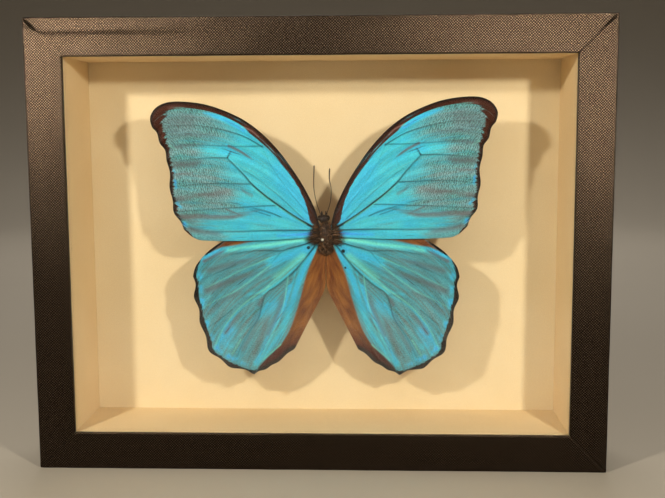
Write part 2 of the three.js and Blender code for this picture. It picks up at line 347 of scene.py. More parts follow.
shaded_liner_paper = paper_board("shaded_liner_paper", ("#E6CDA2", "#EED8B2"))
liner_back = CAVITY - 0.02
liner_outline = rounded_outline([
    (WALL_T + GAP + LINER_T, LINER_FRONT, 0.3), (WALL_T + GAP + LINER_T, liner_back, 0.1),
    (WALL_T + GAP, liner_back, 0.1), (WALL_T + GAP, LINER_FRONT, 0.1)], 1.5)
for strip, half, reach, quarter in (("top", INSIDE_W / 2, FRAME_H, 0), ("bottom", INSIDE_W / 2, FRAME_H, 2),
                                    ("left", SHORT_HALF, FRAME_W, 1), ("right", SHORT_HALF, FRAME_W, 3)):
    bar("liner_strip_" + strip, half, reach / 2, liner_outline, quarter * math.pi / 2, False, liner_relief,
        shaded_liner_paper, "liner_board", ["liner_" + strip])

# ---- backing board -------------------------------------------------------------------------------
# A sheet of the same paper-faced foam board, cut to fit between the rails. It closes the cavity behind
# the specimen, and holds its pin.

refinish("backing_board", paper_board("backing_paper", ("#EFDBB4", "#F6E6C4")))

# ---- pin -----------------------------------------------------------------------------------------
# A stainless insect pin, 0.6 mm thick here, goes down through the thorax into the backing board. Its
# head is a small drop of bright metal, and its end is ground to a point.

pin_low, pin_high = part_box("mounting_pin")
PIN_X = MM * (pin_low.x + pin_high.x) / 2
PIN_Y = MM * (pin_low.z + pin_high.z - cad_low.z - cad_high.z) / 2
PIN_FRONT, PIN_TIP = (MM * (cad_low.y - edge) for edge in (pin_low.y, pin_high.y))
PIN_R, PIN_HEAD_R = 0.3, MM * (pin_high.x - pin_low.x) / 2
PIN_POINT = 1.5                                       # length of the ground point


def turned(profile, around):
    """A solid turned about the z axis from (radius, z) points that start and end on it: closed rings
    between two poles."""
    radius, z = np.array(profile, float).T
    angle = np.linspace(0, 2 * math.pi, around, endpoint=False)
    rings = np.stack([radius[1:-1, None] * np.cos(angle), radius[1:-1, None] * np.sin(angle),
                      np.broadcast_to(z[1:-1, None], (len(z) - 2, around))], -1).reshape(-1, 3)
    points = np.concatenate([rings, [[0, 0, z[0]], [0, 0, z[-1]]]])
    here = np.arange(around)
    after = (here + 1) % around
    last = (len(z) - 3) * around
    first_cap = np.stack([after, here, np.full(around, len(rings))], -1)
    last_cap = np.stack([last + here, last + after, np.full(around, len(rings) + 1)], -1)
    return points, [grid_faces(len(z) - 2, around, True), first_cap, last_cap]


def brushed_metal(name, tint, roughness, along_axis):
    """Bare metal with drawing or rolling lines: stretched noise changes its roughness and tone."""
    made, tree, shader = new_finish(name, Metallic=1.0)
    place = node(tree, "TexCoord").outputs["Object"]
    stretch = [2500.0] * 3
    stretch[along_axis] = 120.0
    lines = node(tree, "Mapping", {"Vector": place, "Scale": stretch})
    grain = node(tree, "TexNoise", {"Vector": lines, "Scale": 1.0, "Detail": 3.0})
    rough = node(tree, "MapRange", {"Value": grain, "To Min": roughness - 0.1,
                                    "To Max": roughness + 0.15})
    shade = node(tree, "Mix", {0: grain, 6: tint[0], 7: tint[1]}, data_type="RGBA")
    connect(tree, shader, {"Roughness": rough, "Base Color": shade})
    return made


steel = brushed_metal("bright_steel", ("#B8B4AC", "#EEE8DE"), 0.3, 1)
head_angle = np.linspace(0, 0.86 * math.pi, 12)
pin_profile = [(0, PIN_FRONT), *zip(PIN_HEAD_R * np.sin(head_angle[1:]),
                                    PIN_FRONT - PIN_HEAD_R * (1 - np.cos(head_angle[1:]))),
               (PIN_R, PIN_FRONT - 2 * PIN_HEAD_R), (PIN_R, PIN_TIP + PIN_POINT), (0, PIN_TIP)]
pin_points, pin_faces = turned(pin_profile, 24)
add_piece("pin", pin_points + [PIN_X, PIN_Y, 0], pin_faces, [steel], "steel", ["mounting_pin"])

# ---- body ----------------------------------------------------------------------------------------
# The head with its two eyes and palps, and the thorax. They are chitin under a coat of fine brown hair,
# which reaches out over the roots of the wings. The dried abdomen was taken off.

BODY_X, WING_Z = 2.0, -18.8                           # the body's axis, and the level of the wing roots
THORAX = ((BODY_X, 2.4, WING_Z - 0.8), (3.0, 6.8, 3.2))
HEAD = ((BODY_X - 0.8, 10.4, WING_Z - 1.2), (2.1, 1.8, 1.9))
HAIR_R, LONG_HAIR_R = 0.06, 0.055
rng = np.random.default_rng(11)


def ellipsoid(place, radii, rows=24, around=36, rough=0.0):
    """A ball stretched to three half axes, its poles on y, and dented by three waves times `rough`."""
    turn = np.linspace(0, math.pi, rows)
    points, faces = turned(np.stack([np.sin(turn), -np.cos(turn)], -1), around)
    waves = np.sin(points @ [5, 3, 7]) + np.sin(points @ [-4, 6, 3] + 1) + np.sin(points @ [9, -5, 2] + 2)
    points = points * (1 + rough * waves[:, None])
    return points[:, [0, 2, 1]] * [1, 1, -1] * radii + place, faces


def joined(parts):
    """Several closed surfaces as one list of points and faces."""
    points, faces, count = [], [], 0
    for part_points, part_faces in parts:
        points.append(part_points)
        faces += [f + count for f in part_faces]
        count += len(part_points)
    return np.concatenate(points), faces


def chitin(name, tint, roughness, cell):
    """Dry insect skin: brown and waxy, pitted in cells of that size in millimetres."""
    made, tree, shader = new_finish(name, Roughness=roughness, Specular_IOR_Level=0.12)
    place = node(tree, "TexCoord").outputs["Object"]
    cells = node(tree, "TexVoronoi", {"Vector": place, "Scale": MM / cell})
    shade = node(tree, "Mix", {0: cells, 6: tint[0], 7: tint[1]}, data_type="RGBA")
    bump = node(tree, "Bump", {"Height": cells, "Distance": 0.00004, "Strength": 0.6})
    connect(tree, shader, {"Base Color": shade, "Normal": bump})
    return made


trunk = joined([ellipsoid(*THORAX, rough=0.015), ellipsoid(*HEAD, rough=0.01)]
               + [ellipsoid((HEAD[0][0] + side * 0.9, 12.2, WING_Z - 1.6), (0.45, 1.6, 0.55), 12, 14)
                  for side in (-1, 1)])
skin = chitin("dark_chitin", ("#0C0504", "#1E0F0B"), 0.45, 0.3)
add_piece("thorax_and_head", *trunk, [skin], "body_fur", ["body"])
eyes = joined([ellipsoid((HEAD[0][0] + side * 1.6, 10.9, WING_Z - 0.8), (1.0, 1.15, 1.15), 20, 28)
               for side in (-1, 1)])
add_piece("eyes", *eyes, [chitin("faceted_eye", ("#0C0807", "#20140E"), 0.15, 0.09)], "body_fur")


def circles(ways, across, angle):
    """Circles of radius 1 square to the ways: across times the cosine of the angle, plus the cross
    product of both times its sine."""
    beside = np.cross(ways, across)
    return across[:, None] * np.cos(angle)[:, None] + beside[:, None] * np.sin(angle)[:, None]


def fur(roots, ways, lengths, radius, droop):
    """Hairs as three-sided spikes. Each has a ring of three points at its root and at its middle and one
    at its tip, and the tip is pulled from the straight line by `droop` times the length."""
    ways = unit(ways)
    ring = circles(ways, unit(np.cross(ways, rng.normal(size=ways.shape))), 2 * math.pi / 3 * np.arange(3))
    lengths = lengths[:, None]
    middle = roots + ways * lengths * 0.5 + np.array(droop) * lengths * 0.25
    tip = roots + ways * lengths + np.array(droop) * lengths
    points = np.concatenate([roots[:, None] + ring * radius, middle[:, None] + ring * radius * 0.75,
                             tip[:, None]], 1)
    side = [[i, (i + 1) % 3, 3 + (i + 1) % 3, 3 + i] for i in range(3)]
    point = [[3 + i, 3 + (i + 1) % 3, 6] for i in range(3)] + [[2, 1, 0]]
    start = 7 * np.arange(len(roots))[:, None, None]
    faces = [(start + np.array(part)).reshape(-1, len(part[0])) for part in (side, point)]
    return points.reshape(-1, 3), faces


def hair():
    """Dry scale-like hair: each has its own brown, from near black to umber, and a few are straw pale."""
    made, tree, shader = new_finish("brown_hair", Roughness=0.6, Specular_IOR_Level=0.1)
    tone = node(tree, "Attribute", attribute_name="tone").outputs["Fac"]
    straw = node(tree, "Math", {0: tone, 1: 1.0}, operation="SUBTRACT", use_clamp=True)
    umber = node(tree, "Mix", {0: tone, 6: "#120804", 7: "#A07048"}, data_type="RGBA")
    shade = node(tree, "Mix", {0: straw, 6: umber, 7: "#F2DFC4"}, data_type="RGBA")
    connect(tree, shader, {"Base Color": shade})
    return made


def coat(centre, radii, count, length, lean, stand):
    """Hairs rooted all over an ellipsoid. They lean one way, and stand off by a share of the normal."""
    way = unit(rng.normal(size=(count, 3)))
    normal = unit(way / radii)
    lay = stand * normal + np.array(lean) + 0.3 * rng.normal(size=way.shape)
    return fur(centre + way * radii * 0.97, lay, length * rng.uniform(0.6, 1.2, count), HAIR_R,
               (0, 0, -0.1))


def wing_root_tuft(side, count):
    """Long hairs that start on a flank of the thorax and lie outwards over the roots of both wings."""
    along = rng.uniform(0.6, 8.2, count)
    roots = np.stack([np.full(count, BODY_X) + side * rng.uniform(2.4, 3.4, count), along,
                      WING_Z + rng.uniform(0.4, 1.4, count)], -1)
    spread = (along - 3.5) / 12
    ways = np.stack([side * np.ones(count), spread + rng.normal(0, 0.28, count),
                     rng.normal(0.03, 0.1, count)], -1)
    reach = 6.2 - 0.65 * np.abs(along - 3)
    return fur(roots, ways, reach * rng.uniform(0.2, 1.2, count), LONG_HAIR_R, (0, 0, -0.1))


def hair_tones(points, darkest, lightest):
    """Tones hair by hair: clumps from three waves over the roots, painted shade darkening a furrow down
    each flank of the thorax, and the chance of each hair. One hair in thirty is pale."""
    roots = points[::7]
    clumps = (np.sin(roots @ [2.6, 1.7, 0.8]) + np.sin(roots @ [-2.1, 3.3, 1.2] + 2)
              + np.sin(roots @ [4.9, 4.2, 2] + 1))
    # painted shade: hair in the furrow between the thorax and the wing-root tufts is toned darker
    furrow_shade = np.exp(-((np.abs(roots[:, 0] - BODY_X) - 2.7) / 0.4) ** 2)
    share = 0.4 + 0.35 * clumps - 1.2 * furrow_shade + rng.normal(0, 0.15, len(roots))
    pale = rng.uniform(size=len(roots)) < 0.033
    return np.repeat(np.where(pale, 1.7, darkest + (lightest - darkest) * np.clip(share, 0, 1)), 7)


REAR = ((BODY_X, -2.2, WING_Z + 0.1), (2.9, 1.8, 2.2))              # a tuft behind the thorax
TUFT_HAIRS = 1000
# each coat, with the tones of its darkest and its lightest hair
coats = [(coat(*THORAX, 4200, 1.3, (0, -0.5, 0.1), 0.8), 0.1, 0.75),
         (coat(*REAR, 1600, 1.0, (0, -0.2, 0.1), 0.8), 0.1, 0.75),
         (coat(*HEAD, 300, 0.5, (0, 0.2, 0.1), 0.9), 0, 0.1),
         (wing_root_tuft(-1, TUFT_HAIRS), 0.05, 0.85),
         (wing_root_tuft(1, TUFT_HAIRS), 0.05, 0.85)]
fur_points, fur_faces = joined([hairs for hairs, _, _ in coats])
tones = np.concatenate([hair_tones(hairs[0], *span) for hairs, *span in coats])
hairs = add_piece("body_fur", fur_points, fur_faces, [hair()], "body_fur")
hairs.data.attributes.new("tone", "FLOAT", "POINT").data.foreach_set("value", tones.astype(np.float32))

# ---- wings ---------------------------------------------------------------------------------------
# Four membranes on a fan of hollow veins, covered in scales. The blue of the upper side is structural: it
# shines like metal, and thins to grey-brown ripples towards the margins. Edges and the hindwings' inner
# flaps are plain brown. The setter spread them flat, so that they touch nothing but the body.

WING_T = 0.22
WING_RISE, WING_LEAN = 4.0, 1.7                       # degrees that the tips and front edges come forward
FOREWING_TURN = 0.66                                  # degrees that a forewing is turned in its plane
HINDWING_DROP = 1.0                                   # how far the hindwings lie behind the forewings
PLEAT_H, FINE_PLEAT_H = 0.16, 0.07                    # heights of the waves across the fan
WAVE_H = 0.35                                         # height of a slow wave in the whole wing
VEIN_H, CREASE_H = 0.14, 0.16                         # height of the veins, and depth of the pale creases
WING_GRID = (215, 215)                                # points from root to margin, and across

# Knots of the right wings' curves, measured from the body's axis. `front`, `margins` and `back` go round
# a wing, and the margin starts at the knot of `front` that `corner` counts to. veins, pale, dusk, blues
# and brights are strokes, as strokes() takes them. fade, border and band are lines with a patch of
# colour on one side, and spots are the places and radii of dark specks that only one wing of a pair has.
FOREWING = dict(
    front=[(2.4, 8), (4.4, 15.2), (8.7, 24.2), (13.9, 32.6), (20, 40.9), (27.4, 48.4), (36, 54.2),
           (48.4, 59), (61, 60.5), (68, 58.7), (71.3, 54.4), (70.7, 50.2)],
    corner=10,
    margins=[([(70.7, 50.2), (67.9, 43.8), (65.3, 36.3), (64.6, 24.8), (63.3, 14.8), (59.2, 7.3)], 0.7)],
    back=[(59.2, 7.3), (55, 3.7), (49, 2.4), (28, 2), (6, 2.9), (2.4, 3.8)],
    veins=[(1.7, 0.52, 0.34, [(4, 6.9), (7, 8.3), (13.6, 12.4), (20.2, 17.3), (25.7, 21.6), (30.6, 26.2),
                              (33.5, 29.8), (40.2, 37)]),
           (1.3, 0.34, 0.3, [(40.2, 37), (38.6, 39.7)]),
           (0.9, 0.3, 0.25, [(40.2, 37), (46, 37.2), (51, 37), (60, 36.2)]),
           (0.8, 0.3, 0.25, [(31, 25.9), (38.5, 26.2), (46, 26.5), (53.5, 26.3), (62, 25.4)]),
           (0.8, 0.3, 0.25, [(20.5, 16.7), (28, 16.6), (36, 16.2), (43, 16), (52, 15.6), (61, 15)]),
           (0.9, 0.32, 0.22, [(25.5, 41.2), (32, 45.2), (38.5, 47.7), (43.5, 49), (48.5, 50), (54, 50.7),
                              (64, 50.6)]),
           (0.8, 0.3, 0.2, [(25.5, 41.6), (32, 41.6), (38.5, 41.8), (47, 42.3), (63, 43.2)]),
           (0.5, 0.3, 0.2, [(9, 10.6), (17.5, 19.2), (27.5, 27.7), (35, 33)]),
           (0.9, 0.4, 0.3, [(5, 5.9), (17, 6.2), (28, 6.2), (38, 6.1), (50, 6.4)]),
           (0.3, 0.3, 0.2, [(5, 10.4), (14, 21.5), (21.5, 32.4), (25.5, 41.2)]),
           (0.8, 0.22, 0.5, [(18.5, 11.8), (22, 13.4), (26, 14.8), (30, 15.8)]),
           (0.7, 0.22, 0.4, [(23, 12.4), (27, 13.8), (31, 15.2)])],
    pale=[(0.4, 0.35, 0.25, [(33.7, 49.7), (29.7, 47.9), (26.9, 45.4)]),
          (0.45, 0.3, 0.25, [(8, 8.3), (20.6, 16.9), (31, 25.4)]),
          (0.16, 0.5, 0.6, [(63.4, 57.7), (61.5, 58.1), (57.5, 57.9)]),
          (0.35, 0.4, 0.3, [(63.8, 42.4), (61.6, 41)])],
    dusk=[(0.5, 1.0, 1.4, [(41, 45.6), (49.4, 46.7), (62.8, 46.9)]),
          (1.4, 0.45, 0.6, [(29, 35.6), (31, 37), (34.6, 39.4), (37.4, 40.9), (39.4, 41.8)]),
          (0.6, 0.8, 1.2, [(44.9, 43.4), (55.8, 42.5), (63.9, 41.5)]),
          (0.75, 1.5, 2.2, [(48, 36.2), (55.8, 34.6), (61.7, 34.6)]),
          (0.6, 0.6, 0.8, [(53, 31.1), (62.2, 30.6)]),
          (0.8, 1.2, 1.4, [(36, 24.4), (44, 22.4), (52, 21.6), (62.4, 20)]),
          (1.0, 0.8, 1.5, [(27, 14.4), (33, 13.2), (39.3, 12.2), (46.7, 12.3), (53.6, 12.9),
                           (61.8, 12.6)]),
          (0.6, 0.5, 0.5, [(25, 15.4), (31, 14.2), (40, 13.6)]),
          (0.7, 1.0, 1.6, [(41, 5), (48, 5.6), (57, 7.4)]),
          (0.9, 0.35, 0.5, [(32, 12.4), (36.5, 13.4), (41.5, 15.6)]),
          (0.7, 0.6, 0.9, [(36, 24.6), (33, 22.4), (30.6, 21)]),
          (0.55, 4.5, 6.5, [(50, 52), (57, 52), (63, 50)])],
    blues=[(0.9, 2.6, 3.0, [(5.5, 11), (9.1, 17.2), (12.4, 21.8), (16.2, 26.5), (20, 31.1)]),
           (1.0, 1.6, 2.2, [(6, 9.6), (14.2, 12.4), (24, 14.6)]),
           (1.8, 1.2, 0.8, [(4, 4.7), (9, 4.3), (14, 4.1), (20, 3.9)]),
           (1.3, 0.8, 0.9, [(33, 48.2), (39.4, 52), (44.2, 53.9), (49, 55.4)]),
           (0.5, 1.6, 1.6, [(39.4, 39.6), (43, 39.1)]),
           (1.6, 0.7, 0.6, [(62.2, 27.9), (61.9, 24.8)]),
           (0.9, 0.8, 0.8, [(62.6, 32.2), (62.4, 30.8)]),
           (1.4, 0.8, 0.7, [(61.6, 18.6), (60.2, 16.6)]),
           (1.6, 1.0, 0.8, [(59.1, 9.8), (58.2, 8.6)])],
    fade=[(44, 56), (40, 51), (36.6, 47), (37, 44.4), (43, 43), (48.5, 41.6), (49, 38.4), (41, 36),
          (40.5, 30), (33.5, 25.6), (35.6, 19.6), (34, 15.6), (37, 12.6), (47, 11.6), (51, 8.8),
          (44, 5.4), (40, 1)],
    border=[(2.4, 8), (6.1, 9.6), (8.3, 17.8), (12.8, 27.2), (19.3, 35.8), (24.6, 41.5), (29.7, 46.4),
            (35.9, 51.6), (42.6, 54.8), (49, 56.7), (55.5, 57.6), (61.8, 57.2), (65.5, 54.3), (66.5, 51),
            (65.4, 46), (64.3, 41.3), (63.4, 36), (62.8, 29), (62.8, 22), (62, 18.3), (61.3, 13.5),
            (59.6, 10), (57.6, 7)],
    band=[], spots=dict(left=[], right=[]))
HINDWING = dict(
    front=[(0.06, 4), (12, 6.4), (28, 6.2), (39, 3.4), (48, -1.6), (54.4, -8.2), (56.3, -13.4)],
    corner=6,
    margins=[([(56.3, -13.4), (56.1, -22.5), (53.8, -33.8), (50.2, -46), (41.4, -53.3),
               (31.2, -56.6)], 1.1),
             ([(31.2, -56.6), (26, -54.4), (20.4, -51), (13.6, -45.4)], 0.45)],
    back=[(13.6, -45.4), (9.6, -37.6), (6.2, -31), (2.8, -24.4), (0.4, -19), (0.06, -12), (0.06, -4)],
    veins=[(0.9, 0.4, 0.3, [(3.5, 1.6), (10.3, -0.6), (15.4, -1.9), (19.1, -2.9), (25.3, -2.6),
                            (32, -2.9), (40, -4.3)]),
           (0.9, 0.45, 0.3, [(3.5, 0.4), (9.3, -7), (14.2, -12.4), (20.7, -17.8), (26, -22),
                             (28.8, -31.5), (32.5, -37), (35.5, -42.1), (38.5, -48.6)]),
           (0.35, 0.3, 0.2, [(26, -22), (31.1, -23), (36.8, -35.3), (43.4, -46.5)]),
           (0.45, 0.3, 0.2, [(18.4, -2.7), (21.5, -6.3), (24.7, -10.2)]),
           (0.5, 0.3, 0.25, [(38.4, -8.7), (45, -11.6), (53.4, -15.2)]),
           (0.6, 0.3, 0.25, [(40, -28), (45, -31.9), (50.3, -35.7)])],
    pale=[(0.75, 1.0, 0.7, [(5, 2.2), (14, 1.2), (22, 0), (32, -0.9), (41, -2.4)]),
          (0.5, 1.5, 1.6, [(10, -5.2), (16, -10.2), (21, -14.4)]),
          (0.6, 0.22, 0.2, [(8.6, -4.4), (12.5, -7.5), (19.5, -13.5), (26, -19)]),
          (0.5, 0.2, 0.18, [(9.5, -6.6), (14, -9.8), (20.5, -15.6), (27, -20.4)]),
          (0.45, 0.25, 0.2, [(24, -5.8), (31.2, -9), (38, -12), (51, -18.6)]),
          (0.45, 0.25, 0.2, [(23, -8.6), (31.2, -14.9), (39.1, -20.3), (45.3, -23.2), (52.3, -27)]),
          (0.55, 0.3, 0.25, [(24.1, -17.9), (30.8, -22.5), (35.8, -26.3), (41.3, -32.2), (45.5, -38.9),
                             (48, -44.9)]),
          (0.45, 0.25, 0.2, [(16, -13.6), (18, -25.9), (20.7, -33.5), (23.9, -40.4), (28.6, -50)]),
          (0.6, 0.25, 0.25, [(19.5, -43.5), (27, -50.1)]),
          (0.6, 0.25, 0.25, [(36.5, -41), (40.4, -47.4)])],
    dusk=[(0.65, 1.0, 1.8, [(26, -5), (38.7, -8.2), (49.4, -11)]),
          (0.75, 1.2, 2.0, [(25, -10.4), (38.7, -15), (50.4, -19.6)]),
          (0.55, 1.2, 1.6, [(33, -19.4), (42, -23), (49.6, -29)]),
          (0.7, 0.9, 1.2, [(34, -27.6), (38.9, -32.4), (43, -38)]),
          (0.5, 1.4, 2.0, [(28, -27), (31, -36), (36, -45)]),
          (0.6, 1.3, 1.8, [(23, -28), (27, -38), (30.6, -47)]),
          (0.6, 1.4, 1.4, [(16.4, -17), (20.5, -28.9), (25, -38.6)]),
          (0.8, 0.9, 1.0, [(26.6, -22.4), (28.6, -26)]),
          (0.9, 0.8, 0.9, [(41, -1.6), (46.4, -4.4), (51.4, -7)])],
    blues=[(1.0, 1.2, 1.4, [(5.4, -3.4), (8.4, -9.2), (11, -15.4), (13.6, -22)]),
           (0.8, 2.4, 2.6, [(7, -2), (13, -4.4), (20, -6.6), (23, -9)]),
           (0.8, 1.0, 1.6, [(15.4, -18), (18.6, -28), (23, -36), (27, -44), (30, -50.8)]),
           (0.8, 2.6, 3.0, [(41, -37), (43.6, -43)]),
           (0.6, 3.0, 3.0, [(22, -26), (26, -31)]),
           (0.9, 1.2, 1.0, [(53.4, -12.8), (52.8, -15)]),
           (0.8, 1.0, 0.9, [(53.2, -18), (53, -20.4)]),
           (1.1, 1.2, 1.0, [(52.9, -23.8), (52.2, -26.6)]),
           (0.9, 1.1, 0.9, [(50.9, -33.4), (50.4, -35.8)]),
           (0.8, 1.0, 0.9, [(49, -39), (48.4, -41)]),
           (1.3, 1.3, 1.1, [(47, -44.4), (45.2, -46.2)]),
           (1.2, 1.3, 1.1, [(42, -48.4), (39.4, -50)]),
           (0.8, 1.0, 0.9, [(36.4, -51.4), (34.4, -52.2)]),
           (0.9, 0.8, 0.8, [(44.6, -2.4), (48.6, -4), (52.4, -6.6)])],
    brights=[(1.2, 2.6, 1.6, [(6, 2.4), (14, 1.4), (22, 0.2), (32.1, -0.8), (42, -2.2), (50, -5)]),
             (1.0, 2.6, 4.0, [(5, -0.6), (12, -3.6), (19, -5.4), (22.4, -7)]),
             (0.9, 0.8, 1.0, [(6, -3), (14, -9), (21, -15.4), (27, -20), (33, -21.4)]),
             (1.0, 0.7, 1.0, [(5.6, -4), (13, -10.6), (20, -16.6), (24.6, -19.6), (30.5, -23.6),
                              (37.2, -28.4), (41.6, -34), (44.6, -40), (46.6, -44)]),
             (1.1, 0.6, 1.1, [(24.7, -25.4), (29.4, -32.4), (33.4, -39), (36.4, -44), (38.4, -49.5)]),
             (0.9, 0.6, 1.1, [(12.9, -11.9), (14.4, -17.5), (17.6, -25.9), (20.7, -33.5), (23.9, -40.4),
                              (28.5, -50)]),
             (1.2, 1.4, 2.1, [(5, -3), (9, -9), (11.8, -16.6), (14.4, -25.2), (17.6, -33.6), (20.6, -40),
                              (25, -45.8), (30, -51.6)]),
             (0.6, 2.4, 2.4, [(41, -44), (45, -42)])],
    border=[(40, 3.6), (47.6, -2.4), (52.3, -5.5), (54.2, -10), (54.9, -13.4), (54, -16.5),
            (54.1, -21.5), (53, -26.5), (52.1, -31), (51.3, -35), (49.9, -38.5), (49, -42), (48, -46),
            (44.5, -48.8), (40.4, -51.4), (35.3, -53.7), (31.2, -54.8), (27.5, -53.6)],
    band=[(3.2, -1), (4.6, -4), (8.1, -12.5), (10.5, -21.2), (13, -29.5), (15.6, -36.6), (18.8, -42.2),
          (23.2, -47), (27.5, -51.2), (30.6, -55.4)],
    spots=dict(left=[((7.3, -1.7), 0.9)], right=[((7.3, -3.2), 1.0), ((8.2, -10.3), 0.6)]))


def spline(knots, steps=8):
    """The smooth curve through the knots: in each span a cubic, whose slope at a knot is half the way
    from the knot before it to the knot after it."""
    p = np.array(knots, float)
    share = np.linspace(0, len(p) - 1, (len(p) - 1) * steps + 1)
    i = np.minimum(share.astype(int), len(p) - 2)
    t = (share - i)[:, None]
    start, end = p[i], p[i + 1]
    leave, arrive = (end - p[np.maximum(i - 1, 0)]) / 2, (p[np.minimum(i + 2, len(p) - 1)] - start) / 2
    cubic = (2 * (start - end) + leave + arrive) * t ** 3
    square = (3 * (end - start) - 2 * leave - arrive) * t ** 2
    return cubic + square + leave * t + start


def scalloped(knots, depth, steps=12):
    """A wing margin through the ends of its veins: the curve, moved inwards between them by depth times
    the square of a sine."""
    line = spline(knots, steps)
    way = unit(np.gradient(line, axis=0))
    dip = depth * np.sin(math.pi * np.arange(len(line)) / steps) ** 2
    return line + np.stack([way[:, 1], -way[:, 0]], -1) * dip[:, None]


def evenly(line, count):
    """A polyline cut again into `count` points at equal distances along it."""
    run = distances(line)
    spots = np.linspace(0, run[-1], count)
    return np.stack([np.interp(spots, run, line[:, axis]) for axis in (0, 1)], -1)


def membrane(wing):
    """The wing's flat shape as a Coons patch, u from root to margin and v from back to front: the blend
    of both long edges, plus the blend of both short ones, less the blend of the four corners."""
    front = spline(wing["front"], 20)
    cut = wing["corner"] * 20
    margin = np.concatenate([front[cut:]] + [scalloped(*edge)[1:] for edge in wing["margins"]])[::-1]
    back = spline(wing["back"], 20)[::-1]
    rows, columns = WING_GRID
    front, back, margin = evenly(front[:cut + 1], rows), evenly(back, rows), evenly(margin, columns)
    root = back[0] + (front[0] - back[0]) * np.linspace(0, 1, columns)[:, None]
    u = np.linspace(0, 1, rows)[:, None, None]
    v = np.linspace(0, 1, columns)[None, :, None]
    long_edges = (1 - v) * back[:, None] + v * front[:, None]
    short_edges = (1 - u) * root[None] + u * margin[None]
    corners = ((1 - u) * ((1 - v) * back[0] + v * front[0]) + u * ((1 - v) * back[-1] + v * front[-1]))
    return long_edges + short_edges - corners


def nearest(points, line):
    """For each point, its distance to a polyline, how far along the line that is, from 0 to 1, and on
    which side of the line it lies, positive on the left."""
    start, way = line[:-1], np.diff(line, axis=0)
    best = np.full(len(points), np.inf)
    share, side = np.zeros(len(points)), np.zeros(len(points))
    for i, (a, d) in enumerate(zip(start, way)):
        t = np.clip((points - a) @ d / (d @ d), 0, 1)
        off = points - a - t[:, None] * d
        distance = np.hypot(*off.T)
        closer = distance < best
        best = np.where(closer, distance, best)
        share = np.where(closer, (i + t) / len(way), share)
        side = np.where(closer, np.sign(d[0] * off[:, 1] - d[1] * off[:, 0]), side)
    return best, share, side


def strokes(points, lines, fading=0.0, ease=0.0):
    """The strongest of several soft strokes at each point. A stroke is (strength, width at its start,
    width at its end, knots), and falls off as the bell curve of the distance over the width. Fading is
    its loss of strength from start to end, and over the first `ease` of its length it rises from
    nothing."""
    total = np.zeros(len(points))
    for strength, width, end_width, knots in lines:
        distance, share, _ = nearest(points, spline(knots, 6))
        bell = np.exp(-(distance / (width + (end_width - width) * share)) ** 2)
        if ease:
            bell = bell * smooth(share, -0.02, ease)
        total = np.maximum(total, strength * (1 - fading * share) * bell)
    return total


def signed_distance(points, knots):
    """Distance to a curve, positive on its left."""
    distance, _, side = nearest(points, spline(knots, 6))
    return distance * side


def wing_pattern(kind, wing, flat):
    """Shares from 0 to 1 at each point: full blue scales, bluer hue (up to 2), dusky streaks, dark
    veins, pale lines, brown flap, dark border, its outermost rim and the flap's, the maroon of the
    flap's tail end, and how calm the ripples are. The forewing's border turns softer towards its tip."""
    veins = strokes(flat, wing["veins"], 0.6)
    pale = strokes(flat, wing["pale"], 0.3)
    dusk = strokes(flat, wing["dusk"], 0, 0.4)
    hue = strokes(flat, wing["blues"], 0.4)
    softness = 0.4 + 1.1 * smooth(flat[:, 0], 53, 60) if kind == "forewing" else 0.7
    border = smooth(signed_distance(flat, wing["border"]) / softness, -1, 1)
    edges = [spline(wing["front"], 4)] + [scalloped(*edge, 6)[1:] for edge in wing["margins"]]
    to_edge, _, _ = nearest(flat, np.concatenate(edges))
    rim = 1 - smooth(to_edge, *((0.5, 1.6) if kind == "forewing" else (1.9, 3.1)))
    tail = smooth(-flat[:, 1], 34, 48)
    flap_rim = (1 - smooth(to_edge, 1.1, 2.3)) * smooth(-flat[:, 1], 26, 44)
    calm = np.full(len(flat), 0.0 if kind == "forewing" else 0.6)
    if kind == "forewing":
        bright = smooth(-signed_distance(flat, wing["fade"]), -7, 4.5)
        brown = np.zeros(len(flat))
    else:
        bright = np.maximum(0.32, strokes(flat, wing["brights"], 0.25))
        brown = smooth(-signed_distance(flat, wing["band"]), -0.3, 0.6)
        level = np.interp(flat[:, 0], (20, 29, 33, 37, 40.5, 44, 50), (3.4, 1.7, 0.7, -0.2, -0.7, -1.2, -4))
        costal = smooth(flat[:, 1] - level, -0.4, 0.6) * smooth(flat[:, 0], 17, 30)
        border = border * (1 - brown)
        brown = np.maximum(brown, costal * (1 - border))
    return dict(bright=bright, hue=hue, dusk=dusk, vein=veins, pale=pale, brown=brown, border=border,
                rim=rim, flap_rim=flap_rim, tail=tail, calm=calm)


def with_spots(pattern, flat, spots):
    """The pattern with one wing's own dark specks, which the pale lines don't cross."""
    made = dict(pattern)
    for place, radius in spots:
        spot = 1 - smooth(np.hypot(*(flat - place).T), 0.5 * radius, radius)
        made["vein"], made["pale"] = np.maximum(made["vein"], 1.3 * spot), made["pale"] * (1 - spot)
    return made


